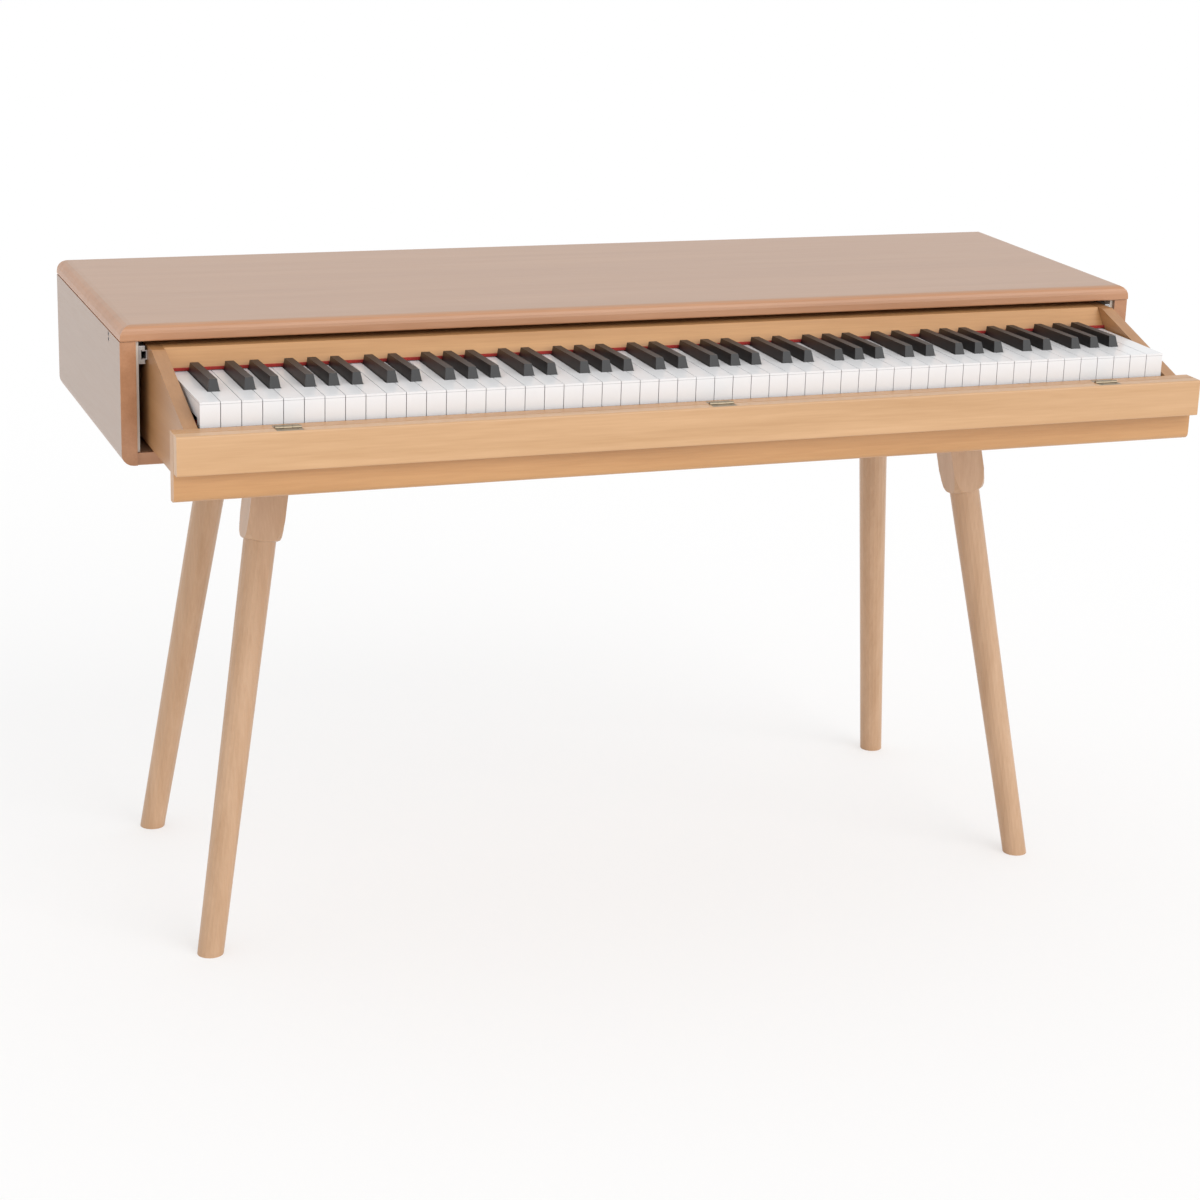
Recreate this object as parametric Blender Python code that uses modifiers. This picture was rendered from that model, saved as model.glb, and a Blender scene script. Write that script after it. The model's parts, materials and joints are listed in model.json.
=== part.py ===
"""Digital piano in a wooden desk casing, with a keyboard drawer, a folding front flap and four splayed legs.

Metres, +Z up, +X to the player's right, +Y to the back, floor at Z 0. Everything is laid out from the middle
of the white keys' front edge. A carrier empty then moves the whole piano so that the middle of its footprint
is the origin.
"""
import math

import bmesh
import bpy
from mathutils import Matrix, Vector

# Clearances
FIT = 0.0003
KEY_END_GAP = 0.003
STOP_GAP = 0.0005
HINGE_GAP = 0.0004

# Keyboard
WHITE_COUNT = 52
WHITE_PITCH = 0.0235
KEY_GAP = 0.0009
KEY_FRONT_H = 0.029
KEY_LIP_T = 0.014
KEY_BODY_H = 0.020
KEY_WALL = 0.0016
KEY_TOP_T = 0.0025
KEY_HEAD_L = 0.047
KEY_END_Y = 0.251
KEY_BLOCK_L = 0.017
BAR_L = 0.009
BAR_LAP = 0.0005
BAR_SPLIT = 0.011
LINK_L = 0.003
SHARP_TAIL_GAP = 0.001
PIVOT_Y = 0.245
NOTCH_DEPTH = 0.009
NOTCH_FLANK = math.radians(35)
KNIFE_GAP = 0.00045
KNIFE_BASE_T = 0.016
SLOT_W = 0.015
SHARP_OFFSETS = {0: 0.021, 1: 0.0495, 3: 0.09025, 4: 0.1175, 5: 0.14475}
SHARP_BASE_W = 0.013
SHARP_TOP_W = 0.0087
SHARP_RISE = 0.013
SHARP_BACK_RISE = 0.0105
SHARP_SLOPE_L = 0.005
SHARP_CAP_END_Y = 0.1485
SHARP_FRONT_GAP = 0.001
SHARP_BACK_DROP = 0.0005
SHARP_CROWN_R = 0.0012
FIRST_LETTER = 5
SINGLE_WHITES = range(23, 30)
SINGLE_SHARPS = range(16, 21)
LETTERS = "cdefgab"

# Heights
LEG_H = 0.630
BOTTOM_T = 0.0145
DRAWER_CLEAR = 0.0075
FLOOR_T = 0.012
CHASSIS_H = 0.082
CHEEK_RISE = 0.024
TOP_CLEARANCE = 0.0065
TOP_T = 0.019

# Widths
CHEEK_T = 0.016
SLIDE_SPACE = 0.0102
PLATE_T = 0.0035
SIDE_T = 0.0185
RAIL_INSET = 0.0175

# Depths
RAIL_KEY_GAP = 0.006
RAIL_T = 0.016
FLAP_GAP = 0.001
FLAP_T = 0.016
FLAP_H = 0.045
DRAWER_TRAVEL = 0.1845
BOTTOM_SETBACK = 0.0025
TOP_OVERHANG = 0.002
CASE_DEPTH = 0.407
BACK_T = 0.012
DRAWER_BACK_T = 0.0117
DRAWER_DEPTH = 0.3747
COVER_T = 0.012

# Roundings
TOP_END_R = 0.017
TOP_FRONT_R = 0.010
TOP_EDGE_R = 0.002
SIDE_LOW_R = 0.014
RAIL_LOW_R = 0.008
FLAP_R = 0.002

# Drawer furniture
CHEEK_NOSE_DROP = 0.028
CHEEK_SLOPE_END_Y = 0.160
FALL_FOOT_Y = 0.1523
FALL_FOOT_RISE = 0.0012
FALL_TOP_Y = 0.1705
FALL_BAND_L = 0.0152
FALL_T = 0.0137
FELT_RISE = 0.0008
FELT_T = 0.0025
FELT_H = 0.0032
RAIL_TOP_DROP = 0.0275
RAIL_LAP = 0.0055

# Keybed
DECK_T = 0.002
DECK_DROP = 0.032
DECK_FRONT_Y = 0.016
DECK_BACK_Y = 0.262
WEB_Y = 0.130
WEB_T = 0.002
STOP_FELT_Y = 0.018
STOP_FELT_L = 0.024
STOP_FELT_H = 0.0021
CONTACT_Y = 0.100
CONTACT_L = 0.050
BOARD_T = 0.0016

# Hinges between rail and flap
HINGE_X = 0.518
HINGE_W = 0.030
PIN_R = 0.001
PIN_BORE_R = 0.0012
KNUCKLE_R = 0.0022
PIN_RISE = 0.0003
LEAF_T = 0.0013
LEAF_L = 0.0103
LEAF_SINK = 0.0001
LEAF_START = 0.0027

# Slides
CHANNEL_T = 0.0012
CHANNEL_H = 0.021
CHANNEL_RISE = 0.003
CHANNEL_START_Y = 0.184
CHANNEL_L = 0.372
CHANNEL_FLANGE = 0.0074
RUNNER_T = 0.0012
RUNNER_H = 0.0112
RUNNER_FLANGE = 0.0062
RUNNER_L = 0.182
PLATE_L = 0.376
GUIDE_T = 0.0013
GUIDE_L = 0.015

# Loudspeakers and electronics
SPEAKER_X = 0.430
SPEAKER_Y = 0.308
SPEAKER_R = 0.033
SPEAKER_FLANGE_R = 0.0385
SPEAKER_D = 0.034
BASKET_FLOOR = 0.016
BASKET_FLOOR_R = 0.020
BASKET_RIM = 0.003
BASKET_T = 0.0015
MAGNET_R = 0.024
CAP_DEPTH = 0.008
CAP_R = 0.008
CONE_T = 0.0012
CONE_GAP = 0.0004
SURROUND_W = 0.005
POST_H = 0.005
POST_R = 0.003
POST_INSET = 0.008
BOARD_W = 0.260
BOARD_Y = 0.272
BOARD_L = 0.070
INLET_X = 0.500
INLET_Z = 0.686
INLET_R = 0.006
INLET_FLANGE_R = 0.009
INLET_BORE_R = 0.0032
INLET_L = 0.014
INLET_FLANGE_T = 0.0015
PORT_Y = 0.2455
PORT_COUNT = 2
PORT_RISE = 0.0201
PORT_PITCH = 0.0063
PORT_R = 0.0026
PORT_BORE_R = 0.0015
PORT_L = 0.009

# Legs: centre lines at the casing's underside and at the floor
LEG_TOP_X = 0.4627
LEG_TOP_Y = {"front": 0.2729, "back": 0.5121}
LEG_FOOT_X = {"front": 0.5643, "back": 0.5484}
LEG_FOOT_Y = {"front": 0.1844, "back": 0.6114}
BLOCK_W = 0.045
BLOCK_L = 0.091
SHOULDER_L = 0.034
LEG_NECK_R = 0.020
LEG_FOOT_R = 0.016
BLOCK_CORNER = 1.05
SHOULDER_R = 0.0225
SHOULDER_STEPS = 5
LEG_STEP_L = 0.0005
STUD_R = 0.004
STUD_RISE = 0.004
STUD_DEPTH = 0.035

# Worked out from the sizes above
CASE_Z = LEG_H
BOTTOM_TOP_Z = CASE_Z + BOTTOM_T
DRAWER_Z = BOTTOM_TOP_Z + DRAWER_CLEAR
FLOOR_TOP_Z = DRAWER_Z + FLOOR_T
KEY_TOP_Z = FLOOR_TOP_Z + CHASSIS_H
CHEEK_TOP_Z = KEY_TOP_Z + CHEEK_RISE
TOP_Z = CHEEK_TOP_Z + TOP_CLEARANCE
KEYS_HALF_W = WHITE_COUNT * WHITE_PITCH / 2
CHEEK_IN_X = KEYS_HALF_W + KEY_END_GAP
CHEEK_OUT_X = CHEEK_IN_X + CHEEK_T
PLATE_IN_X = CHEEK_OUT_X + SLIDE_SPACE
PLATE_OUT_X = PLATE_IN_X + PLATE_T
SIDE_IN_X = PLATE_OUT_X + FIT
SIDE_OUT_X = SIDE_IN_X + SIDE_T
RAIL_HALF_W = SIDE_OUT_X - RAIL_INSET
RAIL_BACK_Y = -RAIL_KEY_GAP
RAIL_FRONT_Y = RAIL_BACK_Y - RAIL_T
FLAP_BACK_Y = RAIL_FRONT_Y - FLAP_GAP
CASE_FRONT_Y = RAIL_BACK_Y + DRAWER_TRAVEL + STOP_GAP
CASE_BACK_Y = CASE_FRONT_Y + CASE_DEPTH
BACK_FRONT_Y = CASE_BACK_Y - BACK_T
DRAWER_FRONT_Y = RAIL_BACK_Y + FIT
DRAWER_BACK_Y = DRAWER_FRONT_Y + DRAWER_DEPTH
COVER_Z = CHEEK_TOP_Z - COVER_T
COVER_FRONT_Y = FALL_TOP_Y + FALL_BAND_L + FIT
INNER_HALF_W = CHEEK_IN_X - FIT
RAIL_TOP_Z = KEY_TOP_Z - RAIL_TOP_DROP
RAIL_LOW_Z = BOTTOM_TOP_Z - RAIL_LAP
PIN_Y = (RAIL_FRONT_Y + FLAP_BACK_Y) / 2
PIN_Z = RAIL_TOP_Z + PIN_RISE
PIVOT_Z = KEY_TOP_Z - NOTCH_DEPTH - FIT / 2
DECK_TOP_Z = KEY_TOP_Z - DECK_DROP

MATERIALS = {
    "pale_wood": ((0.60, 0.41, 0.26), 0.45, 0.0),
    "white_plastic": ((0.78, 0.78, 0.78), 0.25, 0.0),
    "black_plastic": ((0.018, 0.018, 0.02), 0.45, 0.0),
    "red_felt": ((0.36, 0.03, 0.025), 0.95, 0.0),
    "grey_felt": ((0.25, 0.25, 0.26), 0.95, 0.0),
    "hinge_brass": ((0.42, 0.31, 0.16), 0.4, 1.0),
    "zinc_steel": ((0.62, 0.62, 0.62), 0.4, 1.0),
    "pale_plate": ((0.66, 0.62, 0.57), 0.5, 0.0),
    "nylon": ((0.80, 0.78, 0.74), 0.5, 0.0),
    "grey_plastic": ((0.12, 0.12, 0.13), 0.55, 0.0),
    "circuit_board": ((0.03, 0.15, 0.07), 0.5, 0.0),
    "cone_paper": ((0.05, 0.05, 0.05), 0.8, 0.0),
}

collection = bpy.data.collections.new("digital_piano")


def clear_scene():
    for obj in list(bpy.data.objects):
        bpy.data.objects.remove(obj, do_unlink=True)
    bpy.context.scene.collection.children.link(collection)


def make_materials():
    made = {}
    for name, (colour, roughness, metallic) in MATERIALS.items():
        material = bpy.data.materials.new(name)
        material.use_nodes = True
        shader = material.node_tree.nodes["Principled BSDF"]
        shader.inputs["Base Color"].default_value = (*colour, 1.0)
        shader.inputs["Roughness"].default_value = roughness
        shader.inputs["Metallic"].default_value = metallic
        made[name] = material
    return made


# Meshes, all in the keyboard's frame

def mesh_of(bm, name="piece"):
    mesh = bpy.data.meshes.new(name)
    bm.to_mesh(mesh)
    bm.free()
    return mesh


def box(x, y, z):
    """Box between the two ends of each axis."""
    low = Vector((x[0], y[0], z[0]))
    high = Vector((x[1], y[1], z[1]))
    place = Matrix.Translation((low + high) / 2) @ Matrix.Diagonal((*(high - low), 1.0))
    bm = bmesh.new()
    bmesh.ops.create_cube(bm, size=1.0, matrix=place)
    return mesh_of(bm)


def cylinder(start, end, radius, sides=16):
    """Closed cylinder between two points."""
    axis = Vector(end) - Vector(start)
    turn = Vector((0, 0, 1)).rotation_difference(axis).to_matrix().to_4x4()
    place = Matrix.Translation((Vector(start) + Vector(end)) / 2) @ turn
    bm = bmesh.new()
    bmesh.ops.create_cone(
        bm, cap_ends=True, segments=sides, radius1=radius, radius2=radius, depth=axis.length, matrix=place
    )
    return mesh_of(bm)


def fillet(corners, steps=5):
    """Outline with an arc at each corner (x, y, radius) whose radius isn't 0."""
    points = []
    for index, (x, y, radius) in enumerate(corners):
        corner = Vector((x, y))
        if radius == 0:
            points.append(corner)
            continue
        before = (Vector(corners[index - 1][:2]) - corner).normalized()
        after = (Vector(corners[(index + 1) % len(corners)][:2]) - corner).normalized()
        half = before.angle(after) / 2
        centre = corner + (before + after).normalized() * (radius / math.sin(half))
        start = corner + before * (radius / math.tan(half)) - centre
        turn = start.angle_signed(corner + after * (radius / math.tan(half)) - centre)
        for step in range(steps + 1):
            angle = -turn * step / steps
            points.append(centre + Matrix.Rotation(angle, 2) @ start)
    return points


def extruded(points, start, end, columns):
    """Flat outline thickened from start to end along the third of the three given directions."""
    curve = bpy.data.curves.new("outline", "CURVE")
    curve.dimensions = "2D"
    curve.fill_mode = "BOTH"
    curve.extrude = (end - start) / 2
    spline = curve.splines.new("POLY")
    spline.points.add(len(points) - 1)
    for point, (x, y) in zip(spline.points, points):
        point.co = (x, y, 0.0, 1.0)
    spline.use_cyclic_u = True
    obj = bpy.data.objects.new("outline", curve)
    collection.objects.link(obj)
    depsgraph = bpy.context.evaluated_depsgraph_get()
    mesh = bpy.data.meshes.new_from_object(obj.evaluated_get(depsgraph))
    bpy.data.objects.remove(obj)
    bpy.data.curves.remove(curve)
    turn = Matrix(columns).transposed().to_4x4()
    bm = bmesh.new()
    bm.from_mesh(mesh)
    bmesh.ops.remove_doubles(bm, verts=bm.verts, dist=0.00001)
    bmesh.ops.transform(bm, matrix=turn @ Matrix.Translation((0, 0, (start + end) / 2)), verts=bm.verts)
    bmesh.ops.recalc_face_normals(bm, faces=bm.faces)
    bpy.data.meshes.remove(mesh)
    return mesh_of(bm)


def along_x(points_yz, x0, x1):
    return extruded(points_yz, x0, x1, ((0, 1, 0), (0, 0, 1), (1, 0, 0)))


def along_y(points_xz, y0, y1):
    return extruded(points_xz, -y1, -y0, ((1, 0, 0), (0, 0, 1), (0, -1, 0)))


def along_z(points_xy, z0, z1):
    return extruded(points_xy, z0, z1, ((1, 0, 0), (0, 1, 0), (0, 0, 1)))


def evaluated(obj):
    """The object's mesh with its modifiers applied, and the object removed."""
    collection.objects.link(obj)
    depsgraph = bpy.context.evaluated_depsgraph_get()
    mesh = bpy.data.meshes.new_from_object(obj.evaluated_get(depsgraph))
    bpy.data.objects.remove(obj)
    return mesh


def turned(profile, steps=16):
    """Solid of revolution about Z, from a profile of (radius, z) that starts and ends on the axis."""
    mesh = bpy.data.meshes.new("profile")
    edges = [(i, i + 1) for i in range(len(profile) - 1)]
    mesh.from_pydata([(r, 0.0, z) for r, z in profile], edges, [])
    obj = bpy.data.objects.new("turned", mesh)
    screw = obj.modifiers.new("Screw", "SCREW")
    screw.axis = "Z"
    screw.steps = steps
    screw.render_steps = steps
    screw.use_merge_vertices = True
    screw.merge_threshold = 0.00001
    solid = evaluated(obj)
    bm = bmesh.new()
    bm.from_mesh(solid)
    bmesh.ops.remove_doubles(bm, verts=bm.verts, dist=0.00001)
    bmesh.ops.recalc_face_normals(bm, faces=bm.faces)
    return mesh_of(bm)


def boolean(mesh, tools, operation="DIFFERENCE", solver="EXACT"):
    """The mesh cut by, joined with or kept inside each tool mesh in turn."""
    obj = bpy.data.objects.new("target", mesh)
    helpers = []
    for tool in tools:
        helper = bpy.data.objects.new("tool", tool)
        collection.objects.link(helper)
        helper.hide_render = True
        helper.display_type = "WIRE"
        modifier = obj.modifiers.new("Boolean", "BOOLEAN")
        modifier.operation = operation
        modifier.solver = solver
        modifier.object = helper
        helpers.append(helper)
    result = evaluated(obj)
    for helper in helpers:
        bpy.data.objects.remove(helper)
    return result


def moved(mesh, offset):
    copy = mesh.copy()
    copy.transform(Matrix.Translation(offset))
    return copy


def copied(mesh):
    return mesh.copy()


def mirrored(mesh):
    """The same piece on the other side of the plane X = 0."""
    copy = mesh.copy()
    copy.transform(Matrix.Diagonal((-1.0, 1.0, 1.0, 1.0)))
    copy.flip_normals()
    return copy


def joined(meshes):
    """Separate bodies held in one mesh."""
    bm = bmesh.new()
    for mesh in meshes:
        bm.from_mesh(mesh)
    return mesh_of(bm)


# Carriers and parts

def add_carrier(name, location, parent=None):
    carrier = bpy.data.objects.new(name, None)
    carrier.empty_display_size = 0.05
    collection.objects.link(carrier)
    carrier["place"] = location
    carrier.parent = parent
    carrier.location = Vector(location) - (Vector(parent["place"]) if parent else Vector())
    return carrier


def add_part(name, mesh, material, carrier, origin=None):
    """Link a piece under its carrier, with its origin there or at the point given."""
    place = Vector(carrier["place"])
    start = Vector(origin) if origin else place
    mesh.transform(Matrix.Translation(-start))
    mesh.name = name
    mesh.materials.clear()
    mesh.materials.append(material)
    mesh.shade_smooth()
    mesh.set_sharp_from_angle(angle=math.radians(35))
    obj = bpy.data.objects.new(name, mesh)
    collection.objects.link(obj)
    obj.parent = carrier
    obj.location = start - place
    return obj


# The casing

def build_case(casing, mats):
    wood = mats["pale_wood"]
    top_y = (CASE_FRONT_Y - TOP_OVERHANG, CASE_BACK_Y)
    top_z = TOP_Z + TOP_T
    ends = fillet([
        (-SIDE_OUT_X, TOP_Z, TOP_EDGE_R),
        (SIDE_OUT_X, TOP_Z, TOP_EDGE_R),
        (SIDE_OUT_X, top_z, TOP_END_R - TOP_EDGE_R),
        (-SIDE_OUT_X, top_z, TOP_END_R - TOP_EDGE_R),
    ])
    lips = fillet([
        (top_y[0], TOP_Z, TOP_EDGE_R),
        (top_y[1], TOP_Z, TOP_EDGE_R),
        (top_y[1], top_z, TOP_FRONT_R),
        (top_y[0], top_z, TOP_FRONT_R),
    ])
    span = SIDE_OUT_X + TOP_T
    top = boolean(
        along_y(ends, top_y[0] - TOP_T, top_y[1] + TOP_T),
        [along_x(lips, -span, span)],
        "INTERSECT",
    )
    add_part("top_panel", top, wood, casing)

    side = along_y(
        fillet([
            (SIDE_IN_X, CASE_Z, 0),
            (SIDE_OUT_X, CASE_Z, SIDE_LOW_R),
            (SIDE_OUT_X, TOP_Z - FIT, 0),
            (SIDE_IN_X, TOP_Z - FIT, 0),
        ]),
        CASE_FRONT_Y,
        CASE_BACK_Y,
    )
    port_z = [KEY_TOP_Z + PORT_RISE + row * PORT_PITCH for row in range(PORT_COUNT)]
    holes = [
        cylinder((-SIDE_OUT_X - FIT, PORT_Y, z), (-SIDE_OUT_X + PORT_L + FIT, PORT_Y, z), PORT_R + FIT)
        for z in port_z
    ]
    add_part("side_panel_left", boolean(mirrored(side), holes), wood, casing)
    add_part("side_panel_right", side, wood, casing)
    socket = turned([
        (0, PORT_BORE_R - PORT_L),
        (PORT_BORE_R, PORT_BORE_R - PORT_L),
        (PORT_BORE_R, 0),
        (PORT_R, 0),
        (PORT_R, -PORT_L),
        (0, -PORT_L),
    ], 12)
    socket.transform(Matrix.Rotation(-math.pi / 2, 4, "Y"))
    for name, z in zip(("side_port_lower", "side_port_upper"), port_z):
        add_part(name, moved(socket, (-SIDE_OUT_X, PORT_Y, z)), mats["grey_plastic"], casing)

    stud_holes = [
        cylinder((x, y, CASE_Z - FLOOR_T), (x, y, BOTTOM_TOP_Z + FLOOR_T), STUD_R + FIT, 12)
        for x, y in leg_tops()
    ]
    inner_x = SIDE_IN_X - FIT
    bottom = box(
        (-inner_x, inner_x),
        (CASE_FRONT_Y + BOTTOM_SETBACK, BACK_FRONT_Y - FIT),
        (CASE_Z, BOTTOM_TOP_Z),
    )
    add_part("bottom_panel", boolean(bottom, stud_holes), wood, casing)

    back = box((-inner_x, inner_x), (BACK_FRONT_Y, CASE_BACK_Y), (CASE_Z, TOP_Z - FIT))
    inlet_hole = cylinder(
        (INLET_X, BACK_FRONT_Y - BACK_T, INLET_Z), (INLET_X, CASE_BACK_Y + BACK_T, INLET_Z), INLET_R + FIT
    )
    add_part("back_panel", boolean(back, [inlet_hole]), wood, casing)
    inlet = turned([
        (0, INLET_BORE_R - INLET_L),
        (INLET_BORE_R, INLET_BORE_R - INLET_L),
        (INLET_BORE_R, INLET_FLANGE_T),
        (INLET_FLANGE_R, INLET_FLANGE_T),
        (INLET_FLANGE_R, 0),
        (INLET_R, 0),
        (INLET_R, -INLET_L),
        (0, -INLET_L),
    ])
    inlet.transform(Matrix.Rotation(-math.pi / 2, 4, "X"))
    place = (INLET_X, CASE_BACK_Y + FIT, INLET_Z)
    add_part("power_inlet", moved(inlet, place), mats["grey_plastic"], casing)


def build_slides(casing, drawer, mats):
    plate = box(
        (PLATE_IN_X, PLATE_OUT_X),
        (CHANNEL_START_Y, CHANNEL_START_Y + PLATE_L),
        (BOTTOM_TOP_Z + FIT, TOP_Z - FIT),
    )
    channel_x = PLATE_IN_X - FIT
    low = KEY_TOP_Z + CHANNEL_RISE
    channel = along_y(
        c_section(channel_x, channel_x - CHANNEL_FLANGE, low, low + CHANNEL_H, CHANNEL_T),
        CHANNEL_START_Y,
        CHANNEL_START_Y + CHANNEL_L,
    )
    runner_x = CHEEK_OUT_X + FIT
    runner_low = low + (CHANNEL_H - RUNNER_H) / 2
    runner = along_y(
        c_section(runner_x, runner_x + RUNNER_FLANGE, runner_low, runner_low + RUNNER_H, RUNNER_T),
        CHANNEL_START_Y,
        CHANNEL_START_Y + RUNNER_L,
    )
    guide_x = channel_x - CHANNEL_T - FIT
    guide = along_y(
        c_section(
            guide_x,
            channel_x - CHANNEL_FLANGE + FIT,
            low + CHANNEL_T + FIT,
            low + CHANNEL_H - CHANNEL_T - FIT,
            GUIDE_T,
            runner_low - FIT - (low + CHANNEL_T + FIT),
        ),
        CHANNEL_START_Y,
        CHANNEL_START_Y + GUIDE_L,
    )
    for side, place in (("left", mirrored), ("right", copied)):
        add_part("slide_plate_" + side, place(plate), mats["pale_plate"], casing)
        add_part("slide_channel_" + side, place(channel), mats["zinc_steel"], casing)
        add_part("slide_guide_" + side, place(guide), mats["nylon"], casing)
        add_part("slide_runner_" + side, place(runner), mats["zinc_steel"], drawer)


def c_section(web_x, open_x, low, high, web_t, flange_t=None):
    """C profile in X and Z, with its web at web_x and its flanges reaching to open_x."""
    flange = flange_t or web_t
    inner_x = web_x + math.copysign(web_t, open_x - web_x)
    return [
        (web_x, low),
        (open_x, low),
        (open_x, low + flange),
        (inner_x, low + flange),
        (inner_x, high - flange),
        (open_x, high - flange),
        (open_x, high),
        (web_x, high),
    ]


# The legs

def leg_tops():
    return [(side * LEG_TOP_X, LEG_TOP_Y[row]) for row in ("front", "back") for side in (-1, 1)]


def leg_profile():
    """Radius against distance along the leg: square block, rounded shoulder, step and long taper."""
    block_r = BLOCK_W / math.sqrt(2)
    shoulder_end = BLOCK_L + SHOULDER_L
    points = [(0, BLOCK_W), (BLOCK_CORNER * block_r, BLOCK_W), (BLOCK_CORNER * block_r, -BLOCK_L)]
    for step in range(1, SHOULDER_STEPS + 1):
        angle = math.pi / 2 * step / SHOULDER_STEPS
        radius = SHOULDER_R + (block_r - SHOULDER_R) * math.cos(angle)
        points.append((radius, -BLOCK_L - SHOULDER_L * math.sin(angle)))
    for share in (0.0, 0.33, 0.72):
        distance = shoulder_end + share * (LEG_H - shoulder_end)
        taper = LEG_NECK_R + (LEG_FOOT_R - LEG_NECK_R) * share
        points.append((taper, -distance - LEG_STEP_L))
    points.append((LEG_FOOT_R, -LEG_H - BLOCK_W))
    points.append((0, -LEG_H - BLOCK_W))
    return points


def cut_flat(mesh, height, keep_below):
    """Remove what lies beyond a level plane, and close the cut."""
    bm = bmesh.new()
    bm.from_mesh(mesh)
    cut = bmesh.ops.bisect_plane(
        bm,
        geom=bm.verts[:] + bm.edges[:] + bm.faces[:],
        plane_co=(0, 0, height),
        plane_no=(0, 0, 1 if keep_below else -1),
        clear_outer=True,
    )
    rim = [item for item in cut["geom_cut"] if isinstance(item, bmesh.types.BMEdge)]
    bmesh.ops.holes_fill(bm, edges=rim, sides=0)
    bmesh.ops.recalc_face_normals(bm, faces=bm.faces)
    return mesh_of(bm)


def build_legs(casing, mats):
    half = BLOCK_W / 2
    blank = boolean(
        turned(leg_profile(), 20),
        [box((-half, half), (-half, half), (-2 * LEG_H, 2 * BLOCK_W))],
        "INTERSECT",
    )
    for row in ("front", "back"):
        top = Vector((LEG_TOP_X, LEG_TOP_Y[row], CASE_Z))
        foot = Vector((LEG_FOOT_X[row], LEG_FOOT_Y[row], 0.0))
        lean = Vector((0, 0, -1)).rotation_difference(foot - top).to_matrix().to_4x4()
        leg = blank.copy()
        leg.transform(Matrix.Translation(top) @ lean)
        leg = cut_flat(cut_flat(leg, CASE_Z - FIT, True), 0.0, False)
        stud = cylinder(
            (top.x, top.y, CASE_Z - STUD_DEPTH), (top.x, top.y, BOTTOM_TOP_Z + STUD_RISE), STUD_R, 12
        )
        leg = boolean(leg, [stud], "UNION")
        add_part("leg_" + row + "_right", leg.copy(), mats["pale_wood"], casing, top)
        add_part("leg_" + row + "_left", mirrored(leg), mats["pale_wood"], casing, top * Vector((-1, 1, 1)))


# The drawer

def build_drawer(drawer, mats):
    wood = mats["pale_wood"]
    slope = [
        (DRAWER_FRONT_Y, DRAWER_Z),
        (DRAWER_BACK_Y, DRAWER_Z),
        (DRAWER_BACK_Y, CHEEK_TOP_Z),
        (CHEEK_SLOPE_END_Y, CHEEK_TOP_Z),
        (DRAWER_FRONT_Y, KEY_TOP_Z - CHEEK_NOSE_DROP),
    ]
    cheek = along_x(slope, CHEEK_IN_X, CHEEK_OUT_X)
    add_part("cheek_left", mirrored(cheek), wood, drawer)
    add_part("cheek_right", cheek, wood, drawer)
    wide = (-INNER_HALF_W, INNER_HALF_W)
    floor = box(wide, (DRAWER_FRONT_Y, DRAWER_BACK_Y), (DRAWER_Z, FLOOR_TOP_Z))
    add_part("drawer_floor", floor, wood, drawer)
    back = box(
        wide, (DRAWER_BACK_Y - DRAWER_BACK_T, DRAWER_BACK_Y), (FLOOR_TOP_Z + FIT, COVER_Z - FIT)
    )
    add_part("drawer_back", back, wood, drawer)

    openings = [
        cylinder((x, SPEAKER_Y, COVER_Z - COVER_T), (x, SPEAKER_Y, CHEEK_TOP_Z + COVER_T), SPEAKER_R)
        for x in (-SPEAKER_X, SPEAKER_X)
    ]
    cover = box(wide, (COVER_FRONT_Y, DRAWER_BACK_Y), (COVER_Z, CHEEK_TOP_Z))
    add_part("drawer_cover", boolean(cover, openings), wood, drawer)

    foot_z = KEY_TOP_Z + FALL_FOOT_RISE
    lean = (FALL_TOP_Y - FALL_FOOT_Y) / (CHEEK_TOP_Z - foot_z)
    back_foot_y = FALL_FOOT_Y + FALL_T
    board = [
        (FALL_FOOT_Y, foot_z),
        (back_foot_y, foot_z),
        (back_foot_y + lean * (COVER_Z - foot_z), COVER_Z),
        (COVER_FRONT_Y - FIT, COVER_Z),
        (COVER_FRONT_Y - FIT, CHEEK_TOP_Z),
        (FALL_TOP_Y, CHEEK_TOP_Z),
    ]
    add_part("fallboard", along_x(board, *wide), wood, drawer)
    felt_z = KEY_TOP_Z + FELT_RISE
    felt = box(wide, (FALL_FOOT_Y - FIT - FELT_T, FALL_FOOT_Y - FIT), (felt_z, felt_z + FELT_H))
    add_part("name_felt", felt, mats["red_felt"], drawer)


def hinge_places(mesh):
    return [moved(mesh, (x, 0, 0)) for x in (-HINGE_X, 0.0, HINGE_X)]


def leaf(direction, knuckle_spans):
    """One leaf of a butt hinge at X 0, with its knuckles on the pin's axis."""
    top_z = RAIL_TOP_Z - LEAF_SINK
    near_y = PIN_Y + direction * LEAF_START
    far_y = near_y + direction * LEAF_L
    plate = box((-HINGE_W / 2, HINGE_W / 2), sorted((near_y, far_y)), (top_z - LEAF_T, top_z))
    pieces = []
    for x0, x1 in knuckle_spans:
        pieces.append(cylinder((x0, PIN_Y, PIN_Z), (x1, PIN_Y, PIN_Z), KNUCKLE_R, 12))
        pieces.append(box((x0, x1), sorted((PIN_Y, near_y + direction * FIT)), (top_z - LEAF_T, top_z)))
    return boolean(plate, pieces, "UNION")


def hinge_recess(direction):
    """Room for a leaf and the knuckles in a board's top edge, at X 0."""
    half = HINGE_W / 2 + FIT
    low = RAIL_TOP_Z - LEAF_SINK - LEAF_T - FIT
    ends = sorted((PIN_Y, PIN_Y + direction * (LEAF_START + LEAF_L + FIT)))
    pocket = box((-half, half), ends, (low, RAIL_TOP_Z + KNUCKLE_R))
    groove = cylinder((-half, PIN_Y, PIN_Z), (half, PIN_Y, PIN_Z), KNUCKLE_R + HINGE_GAP, 12)
    return [pocket, groove]


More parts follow.
